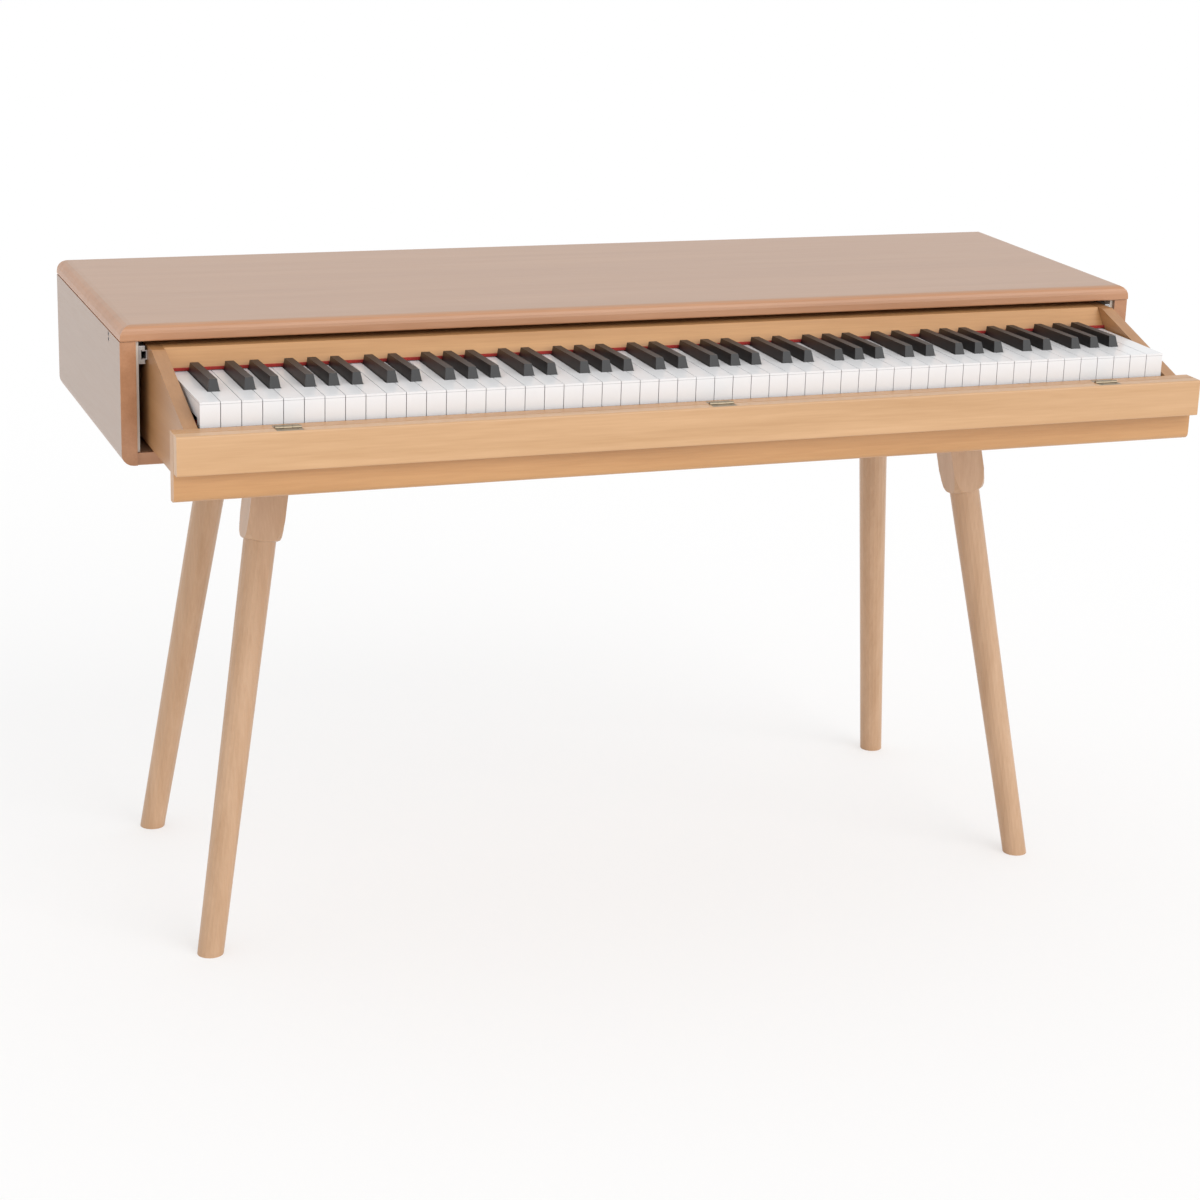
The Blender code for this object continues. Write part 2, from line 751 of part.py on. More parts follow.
def build_front(drawer, flap, mats):
    rail = along_x(
        fillet([
            (RAIL_FRONT_Y, RAIL_LOW_Z, RAIL_LOW_R),
            (RAIL_BACK_Y, RAIL_LOW_Z, 0),
            (RAIL_BACK_Y, RAIL_TOP_Z, 0),
            (RAIL_FRONT_Y, RAIL_TOP_Z, 0),
        ]),
        -RAIL_HALF_W,
        RAIL_HALF_W,
    )
    recesses = [place for cutter in hinge_recess(1) for place in hinge_places(cutter)]
    add_part("front_rail", boolean(rail, recesses), mats["pale_wood"], drawer)

    flap_low = RAIL_TOP_Z - FLAP_H
    flap_front_y = FLAP_BACK_Y - FLAP_T
    board = along_x(
        fillet([
            (flap_front_y, flap_low, FLAP_R),
            (FLAP_BACK_Y, flap_low, FLAP_R),
            (FLAP_BACK_Y, RAIL_TOP_Z, 0),
            (flap_front_y, RAIL_TOP_Z, FLAP_R),
        ], 3),
        -RAIL_HALF_W,
        RAIL_HALF_W,
    )
    recesses = [place for cutter in hinge_recess(-1) for place in hinge_places(cutter)]
    add_part("flap", boolean(board, recesses), mats["pale_wood"], flap)

    third = HINGE_W / 3
    outer = [(-HINGE_W / 2, -third / 2 - FIT / 2), (third / 2 + FIT / 2, HINGE_W / 2)]
    centre = [(-third / 2 + FIT / 2, third / 2 - FIT / 2)]
    pin = cylinder((-HINGE_W / 2, PIN_Y, PIN_Z), (HINGE_W / 2, PIN_Y, PIN_Z), PIN_R, 10)
    bore = cylinder((-HINGE_W, PIN_Y, PIN_Z), (HINGE_W, PIN_Y, PIN_Z), PIN_BORE_R, 12)
    rail_leaf = boolean(leaf(1, outer), [pin], "UNION")
    flap_leaf = boolean(leaf(-1, centre), [bore])
    for place, x in (("left", -HINGE_X), ("middle", 0.0), ("right", HINGE_X)):
        add_part("hinge_pin_leaf_" + place, moved(rail_leaf, (x, 0, 0)), mats["hinge_brass"], drawer)
        add_part("hinge_flap_leaf_" + place, moved(flap_leaf, (x, 0, 0)), mats["hinge_brass"], flap)


# The keybed and the keys

def build_keybed(drawer, mats):
    wide = (-KEYS_HALF_W, KEYS_HALF_W)
    foot_z = FLOOR_TOP_Z + FIT
    under_z = DECK_TOP_Z - DECK_T
    front_y = DECK_FRONT_Y
    chassis = [
        (front_y, foot_z),
        (front_y + WEB_T, foot_z),
        (front_y + WEB_T, under_z),
        (WEB_Y, under_z),
        (WEB_Y, foot_z),
        (WEB_Y + WEB_T, foot_z),
        (WEB_Y + WEB_T, under_z),
        (DECK_BACK_Y - WEB_T, under_z),
        (DECK_BACK_Y - WEB_T, foot_z),
        (DECK_BACK_Y, foot_z),
        (DECK_BACK_Y, DECK_TOP_Z),
        (front_y, DECK_TOP_Z),
    ]
    add_part("key_chassis", along_x(chassis, *wide), mats["grey_plastic"], drawer)
    seat_z = DECK_TOP_Z + FIT
    knife = [
        (PIVOT_Y - KNIFE_BASE_T / 2, seat_z),
        (PIVOT_Y + KNIFE_BASE_T / 2, seat_z),
        (PIVOT_Y, KEY_TOP_Z - NOTCH_DEPTH - KNIFE_GAP),
    ]
    add_part("pivot_rail", along_x(knife, *wide), mats["nylon"], drawer)
    felt = box(wide, (STOP_FELT_Y, STOP_FELT_Y + STOP_FELT_L), (seat_z, seat_z + STOP_FELT_H))
    add_part("key_stop_felt", felt, mats["red_felt"], drawer)
    board = box(wide, (CONTACT_Y, CONTACT_Y + CONTACT_L), (seat_z, seat_z + BOARD_T))
    add_part("contact_board", board, mats["circuit_board"], drawer)


def notch():
    """V cut across a key's tail, where the knife edge carries it."""
    depth = KEY_FRONT_H - NOTCH_DEPTH
    spread = depth * math.tan(NOTCH_FLANK)
    low = KEY_TOP_Z - KEY_FRONT_H
    points = [
        (PIVOT_Y, KEY_TOP_Z - NOTCH_DEPTH),
        (PIVOT_Y - spread, low),
        (PIVOT_Y + spread, low),
    ]
    return along_x(points, -WHITE_PITCH, 2 * WHITE_PITCH)


def white_key(letter, first, last):
    """Hollow white key from its left boundary at X 0, cut back beside each black key."""
    left = KEY_GAP / 2
    right = WHITE_PITCH - KEY_GAP / 2
    tail_left = left
    tail_right = right
    if letter - 1 in SHARP_OFFSETS and not first:
        tail_left = SHARP_OFFSETS[letter - 1] + SLOT_W / 2 - letter * WHITE_PITCH
    if letter in SHARP_OFFSETS and not last:
        tail_right = SHARP_OFFSETS[letter] - SLOT_W / 2 - letter * WHITE_PITCH
    plan = [(left, 0.0), (right, 0.0), (right, KEY_HEAD_L)]
    if tail_right != right:
        plan.append((tail_right, KEY_HEAD_L))
    plan += [(tail_right, KEY_END_Y), (tail_left, KEY_END_Y)]
    if tail_left != left:
        plan.append((tail_left, KEY_HEAD_L))
        plan.append((left, KEY_HEAD_L))
    solid = along_z(plan, KEY_TOP_Z - KEY_FRONT_H, KEY_TOP_Z)
    low = KEY_TOP_Z - 2 * KEY_FRONT_H
    roof = KEY_TOP_Z - KEY_TOP_T
    head_end = KEY_HEAD_L - KEY_WALL
    relief = box((-WHITE_PITCH, 2 * WHITE_PITCH), (KEY_LIP_T, 2 * KEY_END_Y), (low, KEY_TOP_Z - KEY_BODY_H))
    head = box((left + KEY_WALL, right - KEY_WALL), (KEY_WALL, head_end), (low, roof))
    tail = box(
        (tail_left + KEY_WALL, tail_right - KEY_WALL),
        (head_end - KEY_WALL, KEY_END_Y - KEY_BLOCK_L),
        (low, roof),
    )
    return boolean(solid, [relief, head, tail, notch()])


def black_key():
    """Hollow black key about X 0: a tapered cap over a base that runs back under the fallboard."""
    low = KEY_TOP_Z - KEY_BODY_H
    back_z = KEY_TOP_Z - SHARP_BACK_DROP
    front_y = KEY_HEAD_L + SHARP_FRONT_GAP
    side_view = [
        (front_y, low),
        (KEY_END_Y - SHARP_TAIL_GAP, low),
        (KEY_END_Y - SHARP_TAIL_GAP, back_z),
        (SHARP_CAP_END_Y, back_z),
        (SHARP_CAP_END_Y, KEY_TOP_Z + SHARP_BACK_RISE),
        (front_y + SHARP_SLOPE_L, KEY_TOP_Z + SHARP_RISE),
        (front_y, KEY_TOP_Z),
    ]
    base = SHARP_BASE_W / 2
    crown = SHARP_TOP_W / 2
    end_view = fillet([
        (-base, low - KEY_WALL, 0),
        (base, low - KEY_WALL, 0),
        (base, KEY_TOP_Z, 0),
        (crown, KEY_TOP_Z + SHARP_RISE + KEY_WALL, SHARP_CROWN_R),
        (-crown, KEY_TOP_Z + SHARP_RISE + KEY_WALL, SHARP_CROWN_R),
        (-base, KEY_TOP_Z, 0),
    ], 2)
    solid = boolean(
        along_x(side_view, -SHARP_BASE_W, SHARP_BASE_W), [along_y(end_view, 0.0, 2 * KEY_END_Y)], "INTERSECT"
    )
    hollow = box(
        (KEY_WALL - base, base - KEY_WALL),
        (front_y + SHARP_SLOPE_L, KEY_END_Y - KEY_BLOCK_L),
        (low - KEY_BODY_H, KEY_TOP_Z - KEY_TOP_T),
    )
    return boolean(solid, [hollow, notch()])


def build_keys(drawer, mats):
    whites = []
    sharps = []
    shapes = {}
    sharp_shape = black_key()
    for index in range(WHITE_COUNT):
        letter = (index + FIRST_LETTER) % len(LETTERS)
        first = index == 0
        last = index == WHITE_COUNT - 1
        kind = (letter, first, last)
        if kind not in shapes:
            shapes[kind] = white_key(*kind)
        x = index * WHITE_PITCH - KEYS_HALF_W
        whites.append((x, letter, moved(shapes[kind], (x, 0, 0))))
        if letter in SHARP_OFFSETS and not last:
            sharp_x = x - letter * WHITE_PITCH + SHARP_OFFSETS[letter]
            sharps.append((sharp_x, letter, moved(sharp_shape, (sharp_x, 0, 0))))
    add_key_groups("white", whites, SINGLE_WHITES, mats["white_plastic"], drawer)
    add_key_groups("black", sharps, SINGLE_SHARPS, mats["black_plastic"], drawer)


def comb(keys, colour):
    """Keys moulded as one set, on a bar across their tails."""
    low = KEY_TOP_Z - KEY_BODY_H
    split = KEY_TOP_Z - BAR_SPLIT
    if colour == "white":
        y, z = (KEY_END_Y - BAR_LAP, KEY_END_Y + BAR_L), (low + BAR_LAP, split)
    else:
        y, z = (KEY_END_Y + FIT, KEY_END_Y + BAR_L), (split + FIT, KEY_TOP_Z - SHARP_BACK_DROP)
    start = keys[0][0]
    end = keys[-1][0]
    if colour == "white":
        start += KEY_GAP
        end += WHITE_PITCH - KEY_GAP
    else:
        start -= SHARP_BASE_W / 2 - KEY_GAP
        end += SHARP_BASE_W / 2 - KEY_GAP
    bodies = [mesh for _, _, mesh in keys]
    if colour == "black":
        half = SHARP_BASE_W / 2
        links = (KEY_END_Y - LINK_L, KEY_END_Y + FIT + BAR_LAP)
        bodies = [boolean(mesh, [box((x - half, x + half), links, z)], "UNION") for x, _, mesh in keys]
    return boolean(box((start, end), y, z), [joined(bodies)], "UNION", "MANIFOLD")


def add_key_groups(colour, keys, singles, material, drawer):
    """Keys of the middle octave one by one on the pivot, the others as two moulded sets."""
    add_part(colour + "_keys_bass", comb(keys[: singles.start], colour), material, drawer)
    add_part(colour + "_keys_treble", comb(keys[singles.stop :], colour), material, drawer)
    for x, letter, mesh in keys[singles.start : singles.stop]:
        name = colour + "_key_" + LETTERS[letter] + ("_sharp" if colour == "black" else "")
        centre_x = x + (WHITE_PITCH / 2 if colour == "white" else 0.0)
        add_part(name, mesh, material, drawer, (centre_x, PIVOT_Y, PIVOT_Z))


# Loudspeakers and main board

def build_electronics(drawer, mats):
    top_z = COVER_Z - FIT
    basket = turned([
        (0, -BASKET_FLOOR),
        (BASKET_FLOOR_R, -BASKET_FLOOR),
        (SPEAKER_R, -BASKET_RIM),
        (SPEAKER_R, 0),
        (SPEAKER_FLANGE_R, 0),
        (SPEAKER_FLANGE_R, -BASKET_T),
        (SPEAKER_R + BASKET_T, -BASKET_T),
        (SPEAKER_R + BASKET_T, -BASKET_RIM - BASKET_T),
        (MAGNET_R, -BASKET_FLOOR - BASKET_T),
        (MAGNET_R, -SPEAKER_D),
        (0, -SPEAKER_D),
    ])
    cone_r = SPEAKER_R - CONE_GAP
    cone = turned([
        (0, -CAP_DEPTH),
        (CAP_R, -CAP_DEPTH - CONE_T),
        (CAP_R + CONE_T, -CAP_DEPTH - 2 * CONE_T),
        (BASKET_FLOOR_R - CONE_T, CONE_T + CONE_GAP - BASKET_FLOOR),
        (cone_r - SURROUND_W, -BASKET_RIM),
        (cone_r - SURROUND_W / 2, -CONE_T / 2),
        (cone_r, -CONE_T),
        (cone_r, CONE_GAP - BASKET_RIM),
        (BASKET_FLOOR_R - CONE_GAP, CONE_GAP - BASKET_FLOOR),
        (0, CONE_GAP - BASKET_FLOOR),
    ])
    for side, x in (("left", -SPEAKER_X), ("right", SPEAKER_X)):
        place = (x, SPEAKER_Y, top_z)
        add_part("speaker_basket_" + side, moved(basket, place), mats["grey_plastic"], drawer)
        add_part("speaker_cone_" + side, moved(cone, place), mats["cone_paper"], drawer)

    foot_z = FLOOR_TOP_Z + FIT
    board_z = foot_z + POST_H
    board = box((-BOARD_W / 2, BOARD_W / 2), (BOARD_Y, BOARD_Y + BOARD_L), (board_z, board_z + BOARD_T))
    posts = [
        cylinder((x, y, foot_z), (x, y, board_z + BOARD_T / 2), POST_R, 12)
        for x in (POST_INSET - BOARD_W / 2, BOARD_W / 2 - POST_INSET)
        for y in (BOARD_Y + POST_INSET, BOARD_Y + BOARD_L - POST_INSET)
    ]
    add_part("main_board", boolean(board, posts, "UNION"), mats["circuit_board"], drawer)


def centre_on_footprint(root):
    """Move the whole piano so that the middle of its footprint is the origin."""
    bpy.context.view_layer.update()
    ys = [
        (obj.matrix_world @ Vector(corner)).y
        for obj in collection.objects
        if obj.type == "MESH"
        for corner in obj.bound_box
    ]
    root.location.y -= (min(ys) + max(ys)) / 2


clear_scene()
materials = make_materials()
casing_carrier = add_carrier("casing_carrier", (0.0, 0.0, 0.0))
drawer_carrier = add_carrier(
    "drawer_carrier", (0.0, CHANNEL_START_Y, KEY_TOP_Z + CHANNEL_RISE + CHANNEL_H / 2), casing_carrier
)
flap_carrier = add_carrier("flap_carrier", (0.0, PIN_Y, PIN_Z), drawer_carrier)
build_case(casing_carrier, materials)
build_slides(casing_carrier, drawer_carrier, materials)
build_legs(casing_carrier, materials)
build_drawer(drawer_carrier, materials)
build_front(drawer_carrier, flap_carrier, materials)
build_keybed(drawer_carrier, materials)
build_keys(drawer_carrier, materials)
build_electronics(drawer_carrier, materials)
centre_on_footprint(casing_carrier)
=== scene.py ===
"""Looks of the digital piano: wood, moulded keys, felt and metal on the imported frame, in soft studio light."""
import json
import math

import bmesh
import bpy
from mathutils import Matrix, Vector


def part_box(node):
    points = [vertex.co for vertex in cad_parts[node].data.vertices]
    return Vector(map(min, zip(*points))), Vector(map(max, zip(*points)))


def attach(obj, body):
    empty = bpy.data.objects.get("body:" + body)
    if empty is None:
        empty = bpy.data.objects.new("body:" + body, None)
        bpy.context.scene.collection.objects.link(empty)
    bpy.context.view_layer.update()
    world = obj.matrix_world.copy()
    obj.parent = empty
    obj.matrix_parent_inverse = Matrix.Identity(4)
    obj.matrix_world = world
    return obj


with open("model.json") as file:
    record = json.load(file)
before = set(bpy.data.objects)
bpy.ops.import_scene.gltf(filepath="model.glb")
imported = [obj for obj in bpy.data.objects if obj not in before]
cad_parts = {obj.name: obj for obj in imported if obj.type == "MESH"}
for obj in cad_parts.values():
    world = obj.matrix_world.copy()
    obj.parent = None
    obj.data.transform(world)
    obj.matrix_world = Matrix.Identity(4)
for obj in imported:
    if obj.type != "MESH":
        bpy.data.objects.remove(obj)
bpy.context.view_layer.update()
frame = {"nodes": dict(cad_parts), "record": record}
nodes = frame["nodes"]
scene = bpy.context.scene

# Camera
# The lens, tilt and place were fitted to the key boundaries and the casing's long edges. The view is
# cropped off centre, so the lens is shifted a little.
camera_place = (-1.25077, -3.20828, 1.47661)
yaw = 0.4023
pitch = 0.3022
roll = 0.0445
camera_data = bpy.data.cameras.new("camera")
camera_data.sensor_width = 36.0
camera_data.lens = 82.84
camera_data.shift_x = -0.08095
camera_data.shift_y = -0.01227
camera_data.clip_end = 200.0
camera = bpy.data.objects.new("camera", camera_data)
camera.matrix_world = (
    Matrix.Translation(camera_place)
    @ Matrix.Rotation(-yaw, 4, "Z")
    @ Matrix.Rotation(math.pi / 2 - pitch, 4, "X")
    @ Matrix.Rotation(roll, 4, "Z")
)
scene.collection.objects.link(camera)
scene.camera = camera


# Floor and light
# A seamless white floor under an even white surround, with one broad soft light from the front right. The
# floor glows a little towards the camera alone, so that it reads as white and still takes the shadow.
def add_node(tree, kind, inputs, **settings):
    """Add a node with its settings. Each input follows the socket given, or takes the plain value."""
    node = tree.nodes.new(kind)
    for name, value in settings.items():
        setattr(node, name, value)
    for name, source in inputs.items():
        if isinstance(source, bpy.types.NodeSocket):
            tree.links.new(source, node.inputs[name])
        else:
            node.inputs[name].default_value = source
    return node


floor_reach = 60.0
floor_grey = 0.93
floor_glow = 0.55
floor_mesh = bpy.data.meshes.new("floor")
grid = bmesh.new()
bmesh.ops.create_grid(grid, x_segments=1, y_segments=1, size=floor_reach)
grid.to_mesh(floor_mesh)
grid.free()
floor_material = bpy.data.materials.new("floor")
floor_material.use_nodes = True
floor_tree = floor_material.node_tree
floor_shader = floor_tree.nodes["Principled BSDF"]
floor_shader.inputs["Base Color"].default_value = (floor_grey, floor_grey, floor_grey, 1.0)
floor_shader.inputs["Roughness"].default_value = 0.9
floor_shader.inputs["Specular IOR Level"].default_value = 0.1
seen = add_node(floor_tree, "ShaderNodeLightPath", {}).outputs["Is Camera Ray"]
share = add_node(floor_tree, "ShaderNodeMath", {0: seen, 1: floor_glow}, operation="MULTIPLY")
glow = add_node(floor_tree, "ShaderNodeEmission", {})
lit = add_node(
    floor_tree,
    "ShaderNodeMixShader",
    {"Fac": share.outputs["Value"], 1: floor_shader.outputs["BSDF"], 2: glow.outputs["Emission"]},
)
floor_tree.links.new(lit.outputs["Shader"], floor_tree.nodes["Material Output"].inputs["Surface"])
floor_mesh.materials.append(floor_material)
floor = bpy.data.objects.new("floor", floor_mesh)
scene.collection.objects.link(floor)

surround_strength = 0.90
world = bpy.data.worlds.new("surround")
world.use_nodes = True
background = world.node_tree.nodes["Background"]
background.inputs["Color"].default_value = (1.0, 1.0, 1.0, 1.0)
background.inputs["Strength"].default_value = surround_strength
scene.world = world

light_from = Vector((0.38, -0.80, 0.46))
sun_data = bpy.data.lights.new("key_light", "SUN")
sun_data.energy = 1.25
sun_data.angle = math.radians(50)
sun = bpy.data.objects.new("key_light", sun_data)
sun.rotation_euler = light_from.to_track_quat("Z", "Y").to_euler()
scene.collection.objects.link(sun)
scene.view_settings.view_transform = "Standard"

# Top, back and bottom panels
# Pale beech boards whose grain runs along the casing, under a satin lacquer. Faces square to the up axis
# get a pale grey painted sheen, a painted reflection of the lacquer mixed into their colour.

# A Mix node's number and colour sockets share their names, so they are picked by their place.
colour_a = 6
colour_b = 7
colour_out = 2
number_a = 2
number_b = 3


def new_group(name, inputs, outputs):
    """Node group with its named sockets. Returns it, what comes into it, and what it puts out."""
    group = bpy.data.node_groups.new(name, "ShaderNodeTree")
    for direction, sockets in (("INPUT", inputs), ("OUTPUT", outputs)):
        for socket, kind in sockets.items():
            group.interface.new_socket(socket, in_out=direction, socket_type="NodeSocket" + kind)
    given = group.nodes.new("NodeGroupInput").outputs
    wanted = group.nodes.new("NodeGroupOutput").inputs
    return group, given, wanted


def wood_grain_group():
    """Colour, roughness and height of wood: long soft bands, fine pores with them, and a slow drift of tone."""
    group, given, wanted = new_group(
        "wood_grain",
        {"Coordinates": "Vector", "Light": "Color", "Dark": "Color"},
        {"Color": "Color", "Roughness": "Float", "Height": "Float"},
    )
    where = given["Coordinates"]
    bands = add_node(
        group, "ShaderNodeTexNoise", {"Vector": where, "Scale": 2.2, "Detail": 5.0, "Roughness": 0.55}
    )
    pores = add_node(group, "ShaderNodeTexNoise", {"Vector": where, "Scale": 16.0, "Detail": 3.0})
    drift = add_node(group, "ShaderNodeTexNoise", {"Vector": where, "Scale": 0.5, "Detail": 2.0})
    figure = add_node(
        group,
        "ShaderNodeMix",
        {"Factor": 0.3, number_a: bands.outputs["Fac"], number_b: pores.outputs["Fac"]},
        data_type="FLOAT",
    ).outputs[0]
    contrast = add_node(group, "ShaderNodeMapRange", {"Value": figure, "From Min": 0.32, "From Max": 0.68})
    tone = add_node(
        group,
        "ShaderNodeMix",
        {"Factor": contrast.outputs["Result"], colour_a: given["Dark"], colour_b: given["Light"]},
        data_type="RGBA",
    )
    slow = add_node(
        group, "ShaderNodeMapRange", {"Value": drift.outputs["Fac"], "To Min": 0.90, "To Max": 1.08}
    )
    shade = add_node(
        group,
        "ShaderNodeVectorMath",
        {0: tone.outputs[colour_out], "Scale": slow.outputs["Result"]},
        operation="SCALE",
    )
    polish = add_node(
        group, "ShaderNodeMapRange", {"Value": pores.outputs["Fac"], "To Min": 0.34, "To Max": 0.46}
    )
    group.links.new(shade.outputs["Vector"], wanted["Color"])
    group.links.new(polish.outputs["Result"], wanted["Roughness"])
    group.links.new(figure, wanted["Height"])
    return group


def painted_sheen_group():
    """Colour with a painted sheen: a pale grey painted reflection mixed in on the faces square to an axis."""
    group, given, wanted = new_group(
        "painted_sheen_tree",
        {"Normal": "Vector", "Axis": "Vector", "Color": "Color", "PaintedSheen": "Color", "Amount": "Float"},
        {"Color": "Color"},
    )
    along = add_node(
        group, "ShaderNodeVectorMath", {0: given["Normal"], 1: given["Axis"]}, operation="DOT_PRODUCT"
    )
    facing = add_node(group, "ShaderNodeMath", {0: along.outputs["Value"]}, operation="ABSOLUTE")
    fade = add_node(
        group,
        "ShaderNodeMapRange",
        {"Value": facing.outputs["Value"], "From Min": 0.80, "From Max": 0.99, "To Max": given["Amount"]},
    )
    mix = add_node(
        group,
        "ShaderNodeMix",
        {"Factor": fade.outputs["Result"], colour_a: given["Color"], colour_b: given["PaintedSheen"]},
        data_type="RGBA",
    )
    group.links.new(mix.outputs[colour_out], wanted["Color"])
    return group


wood_grain = wood_grain_group()
# The painted sheen group mixes a painted grey reflection into a colour.
painted_sheen_tree = painted_sheen_group()
bump_distance = 0.001


def new_material(name):
    """Material with its node tree, its shader and the coordinates on the piece."""
    material = bpy.data.materials.new(name)
    material.use_nodes = True
    tree = material.node_tree
    return material, tree, tree.nodes["Principled BSDF"], tree.nodes.new("ShaderNodeTexCoord").outputs


def set_bump(tree, shader, height, strength):
    bump = add_node(
        tree, "ShaderNodeBump", {"Height": height, "Strength": strength, "Distance": bump_distance}
    )
    tree.links.new(bump.outputs["Normal"], shader.inputs["Normal"])


def wood(name, stretch, light, dark, painted_sheen=None):
    """Lacquered wood with its grain along the axis of least stretch, and a painted sheen (a painted reflection)
    of (axis, colour, amount).
    """
    material, tree, shader, coordinates = new_material(name)
    where = add_node(tree, "ShaderNodeMapping", {"Vector": coordinates["Object"], "Scale": stretch})
    grain = add_node(tree, "ShaderNodeGroup", {}, node_tree=wood_grain)
    grain.inputs["Light"].default_value = (*light, 1.0)
    grain.inputs["Dark"].default_value = (*dark, 1.0)
    tree.links.new(where.outputs["Vector"], grain.inputs["Coordinates"])
    colour = grain.outputs["Color"]
    # Painted reflection: a pale grey sheen mixed into the colour of the faces square to the axis.
    if painted_sheen:
        axis, pale, amount = painted_sheen
        face = add_node(tree, "ShaderNodeGroup", {}, node_tree=painted_sheen_tree)
        face.inputs["Axis"].default_value = axis
        face.inputs["PaintedSheen"].default_value = (*pale, 1.0)
        face.inputs["Amount"].default_value = amount
        tree.links.new(coordinates["Normal"], face.inputs["Normal"])
        tree.links.new(colour, face.inputs["Color"])
        colour = face.outputs["Color"]
    tree.links.new(colour, shader.inputs["Base Color"])
    tree.links.new(grain.outputs["Roughness"], shader.inputs["Roughness"])
    set_bump(tree, shader, grain.outputs["Height"], 0.06)
    shader.inputs["Coat Weight"].default_value = 0.25
    shader.inputs["Coat Roughness"].default_value = 0.22
    return material


def finish(material, *names):
    """Give a material to the named nodes."""
    for name in names:
        nodes[name].material_slots[0].material = material


along_x = (1.2, 26.0, 26.0)
# The last entry is the painted sheen: a grey painted reflection on the faces square to the up axis.
case_wood = wood(
    "wood_case", along_x, (0.53, 0.275, 0.15), (0.43, 0.205, 0.10), ((0, 0, 1), (0.40, 0.27, 0.19), 0.6)
)
finish(case_wood, "top_panel", "back_panel", "bottom_panel")

# Side panels
# The same beech, with its grain from front to back. Faces square to the side axis get the greyest painted sheen
# of all, a painted reflection in their colour.
along_y = (26.0, 1.2, 26.0)
# The last entry is the painted sheen: a grey painted reflection on the faces square to the side axis.
side_wood = wood(
    "wood_side", along_y, (0.50, 0.25, 0.13), (0.40, 0.185, 0.085), ((1, 0, 0), (0.36, 0.29, 0.24), 0.7)
)
finish(side_wood, "side_panel_left", "side_panel_right")

# Legs
# Each leg is turned from one paler length of beech, with the grain running down it.
along_z = (30.0, 30.0, 1.4)
leg_wood = wood("wood_leg", along_z, (0.57, 0.365, 0.225), (0.47, 0.28, 0.155))
finish(leg_wood, *(f"leg_{row}_{side}" for row in ("front", "back") for side in ("left", "right")))

# Drawer
# Rail, fallboard and inner boards are a yellower beech along the keyboard. The two cheeks are darker, with
# their grain from front to back.
front_wood = wood("wood_front", along_x, (0.58, 0.31, 0.13), (0.47, 0.235, 0.09))
finish(front_wood, "front_rail", "fallboard", "drawer_floor", "drawer_back", "drawer_cover")
cheek_wood = wood("wood_cheek", along_y, (0.46, 0.235, 0.10), (0.37, 0.175, 0.065))
finish(cheek_wood, "cheek_left", "cheek_right")

# Flap
# One board of lighter beech on three butt hinges, folded down over the rail.
flap_wood = wood("wood_flap", along_x, (0.64, 0.385, 0.20), (0.53, 0.30, 0.14))
finish(flap_wood, "flap")


# Slides, plates and guides
# Each slide is a bright zinc channel and runner with a nylon guide at its mouth, on a pale painted plate
# inside the casing's side. The keys' pivot rail is of the same nylon.
def mottle_group():
    """Tone, roughness and height that wander a little over a moulded, rolled or woven surface."""
    group, given, wanted = new_group(
        "mottle",
        {
            "Coordinates": "Vector",
            "Scale": "Float",
            "Dark": "Color",
            "Light": "Color",
            "Smoothest": "Float",
            "Roughest": "Float",
        },
        {"Color": "Color", "Roughness": "Float", "Height": "Float"},
    )
    noise = add_node(
        group,
        "ShaderNodeTexNoise",
        {"Vector": given["Coordinates"], "Scale": given["Scale"], "Detail": 4.0},
    ).outputs["Fac"]
    tone = add_node(
        group,
        "ShaderNodeMix",
        {"Factor": noise, colour_a: given["Dark"], colour_b: given["Light"]},
        data_type="RGBA",
    )
    spread = add_node(
        group,
        "ShaderNodeMapRange",
        {"Value": noise, "To Min": given["Smoothest"], "To Max": given["Roughest"]},
    )
    group.links.new(tone.outputs[colour_out], wanted["Color"])
    group.links.new(spread.outputs["Result"], wanted["Roughness"])
    group.links.new(noise, wanted["Height"])
    return group


mottle = mottle_group()
roughness_spread = 0.05


def surface(name, colour, roughness, metallic=0.0, variation=0.04, scale=60.0, bump_height=0.02):
    """Plain finish that varies by a share of its colour, at the given scale."""
    material, tree, shader, coordinates = new_material(name)
    wander = add_node(tree, "ShaderNodeGroup", {}, node_tree=mottle)
    wander.inputs["Scale"].default_value = scale
    wander.inputs["Dark"].default_value = (*[c * (1 - variation) for c in colour], 1.0)
    wander.inputs["Light"].default_value = (*[min(c * (1 + variation), 1.0) for c in colour], 1.0)
    wander.inputs["Smoothest"].default_value = roughness - roughness_spread
    wander.inputs["Roughest"].default_value = min(roughness + roughness_spread, 1.0)
    tree.links.new(coordinates["Object"], wander.inputs["Coordinates"])
    tree.links.new(wander.outputs["Color"], shader.inputs["Base Color"])
    tree.links.new(wander.outputs["Roughness"], shader.inputs["Roughness"])
    set_bump(tree, shader, wander.outputs["Height"], bump_height)
    shader.inputs["Metallic"].default_value = metallic
    return material


def finish_slot(slot, material):
    """Give a material to every node of one of the record's material slots."""
    subparts = frame["record"]["subparts"]
    finish(material, *(entry["node"] for entry in subparts if entry["material_slot"] == slot))


zinc = surface("zinc", (0.60, 0.60, 0.61), 0.38, metallic=1.0, variation=0.08, scale=120.0)
finish_slot("zinc_steel", zinc)
finish_slot("pale_plate", surface("pale_paint", (0.66, 0.60, 0.53), 0.5))
finish_slot("nylon", surface("nylon", (0.46, 0.44, 0.41), 0.45))

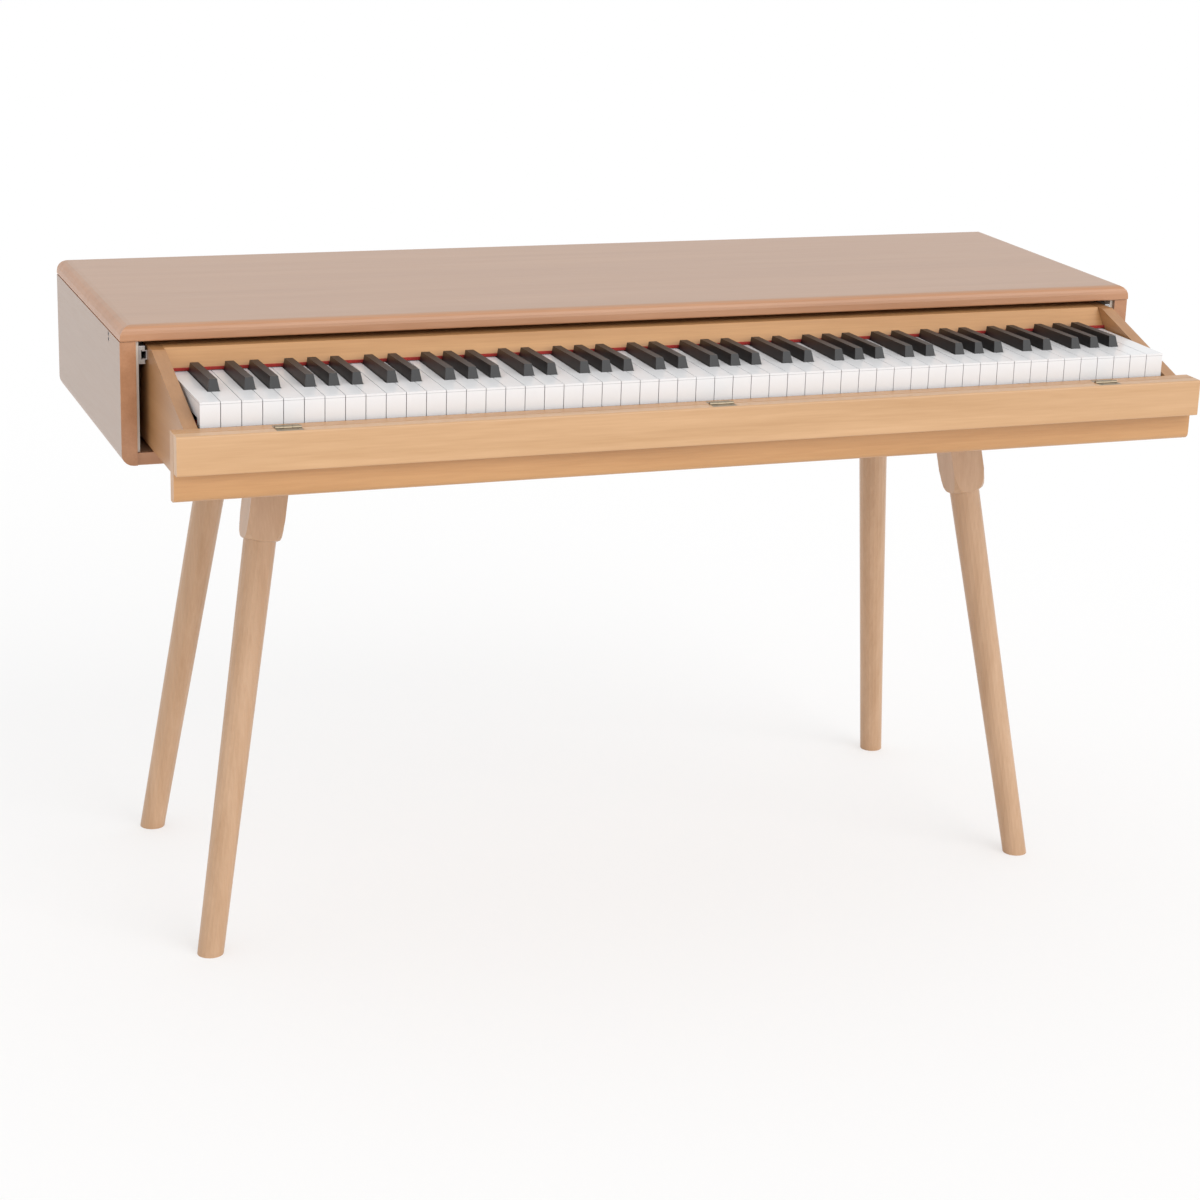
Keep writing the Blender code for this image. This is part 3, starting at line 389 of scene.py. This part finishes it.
# White keys
# Glossy white mouldings. Each key's top is a cap over its front, so a fine grey seam runs along the front
# just under the top edge.
seam_drop = 0.0026
seam_half_height = 0.0002
seam_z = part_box("white_keys_bass")[1].z - seam_drop
key_white = surface("key_white", (0.80, 0.80, 0.81), 0.22, variation=0.01, bump_height=0.01)
key_tree = key_white.node_tree
key_base = key_tree.nodes["Principled BSDF"].inputs["Base Color"]
key_place = key_tree.nodes.new("ShaderNodeTexCoord").outputs["Object"]
key_height = add_node(key_tree, "ShaderNodeSeparateXYZ", {"Vector": key_place}).outputs["Z"]
near_seam = add_node(
    key_tree, "ShaderNodeMath", {0: key_height, 1: seam_z, 2: seam_half_height}, operation="COMPARE"
)
seam = add_node(
    key_tree,
    "ShaderNodeMix",
    {
        "Factor": near_seam.outputs["Value"],
        colour_a: key_base.links[0].from_socket,
        colour_b: (0.42, 0.42, 0.44, 1.0),
    },
    data_type="RGBA",
)
key_tree.links.new(seam.outputs[colour_out], key_base)
finish_slot("white_plastic", key_white)

# Black keys
# Satin black mouldings with a fine grain.
key_black = surface("key_black", (0.006, 0.006, 0.007), 0.40, variation=0.2, scale=400.0)
finish_slot("black_plastic", key_black)

# Felt strips
# A fuzzy red felt runs along the fallboard's foot and under the key fronts, where it stops the keys.
felt = surface("felt_red", (0.37, 0.028, 0.022), 0.92, variation=0.35, scale=900.0, bump_height=0.6)
finish_slot("felt", felt)

# Chassis, ports, boards and loudspeakers
# Dark grey mouldings with a fine grain, green lacquered circuit boards, and pressed black paper cones.
dark_plastic = surface("dark_plastic", (0.10, 0.10, 0.11), 0.5, variation=0.1, scale=300.0)
solder_mask = surface("solder_mask", (0.02, 0.16, 0.07), 0.4, variation=0.15, scale=200.0)
cone_paper = surface("cone_paper", (0.05, 0.05, 0.05), 0.8, variation=0.2, scale=300.0, bump_height=0.3)
finish_slot("grey_plastic", dark_plastic)
finish_slot("circuit_board", solder_mask)
finish_slot("cone_paper", cone_paper)

# Hinges and their screws
# Three butt hinges of dull brass join the flap to the rail. Two small screws with a cross recess hold each
# leaf, and stand barely proud, because the leaves close face to face when the flap is shut.
knuckle_r = 0.0022
pin_rise = 0.0003
leaf_sink = 0.0001
leaf_half_l = 0.0052
screw_spread = 0.0095
screw_r = 0.0017
screw_rise = 0.00022
screw_base = 0.0001
recess_l = 0.6 * 2.0 * screw_r
recess_w = 0.0005
recess_t = 0.00012
brass = surface("brass", (0.34, 0.28, 0.20), 0.40, metallic=1.0, variation=0.15, scale=120.0)
finish_slot("hinge_brass", brass)


def screw_mesh():
    """Low domed head, flat underneath."""
    shape = bmesh.new()
    bmesh.ops.create_uvsphere(shape, u_segments=20, v_segments=10, radius=screw_r)
    bmesh.ops.scale(shape, vec=(1.0, 1.0, screw_rise / screw_r), verts=shape.verts)
    below = [v for v in shape.verts if v.co.z < -screw_base]
    bmesh.ops.delete(shape, geom=below, context="VERTS")
    rim = [e for e in shape.edges if e.is_boundary]
    bmesh.ops.holes_fill(shape, edges=rim, sides=0)
    mesh = bpy.data.meshes.new("screw")
    shape.to_mesh(mesh)
    shape.free()
    mesh.shade_smooth()
    return mesh


def recess_shade_mesh():
    """Painted shade of the cross recess: a dark cross in the head, of two crossed bars."""
    shape = bmesh.new()
    for size in ((recess_l, recess_w, recess_t), (recess_w, recess_l, recess_t)):
        bmesh.ops.create_cube(shape, size=1.0, matrix=Matrix.Diagonal((*size, 1.0)))
    mesh = bpy.data.meshes.new("screw_recess_shade")
    shape.to_mesh(mesh)
    shape.free()
    return mesh


def add_fitting(name, mesh, place, material, body):
    """Put a mesh on a hinge leaf, where it rides on the leaf's body."""
    mesh.transform(Matrix.Translation(place))
    mesh.materials.append(material)
    piece = bpy.data.objects.new(name, mesh)
    scene.collection.objects.link(piece)
    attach(piece, body)


for body, prefix in (("drawer", "hinge_pin_leaf_"), ("flap", "hinge_flap_leaf_")):
    for place in ("left", "middle", "right"):
        low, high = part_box(prefix + place)
        leaf_top = high.z - knuckle_r - pin_rise - leaf_sink
        leaf_y = high.y - leaf_half_l if body == "drawer" else low.y + leaf_half_l
        for side, offset in (("left", -screw_spread), ("right", screw_spread)):
            name = f"screw_{body}_{place}_{side}"
            base = Vector(((low.x + high.x) / 2 + offset, leaf_y, leaf_top - screw_base))
            top = base + Vector((0, 0, screw_rise))
            add_fitting(name, screw_mesh(), base, brass, body)
            # The shade in each cross recess is painted: dark grey bars stand in for the shade in its hollow.
            add_fitting(name + "_recess_shade", recess_shade_mesh(), top, dark_plastic, body)
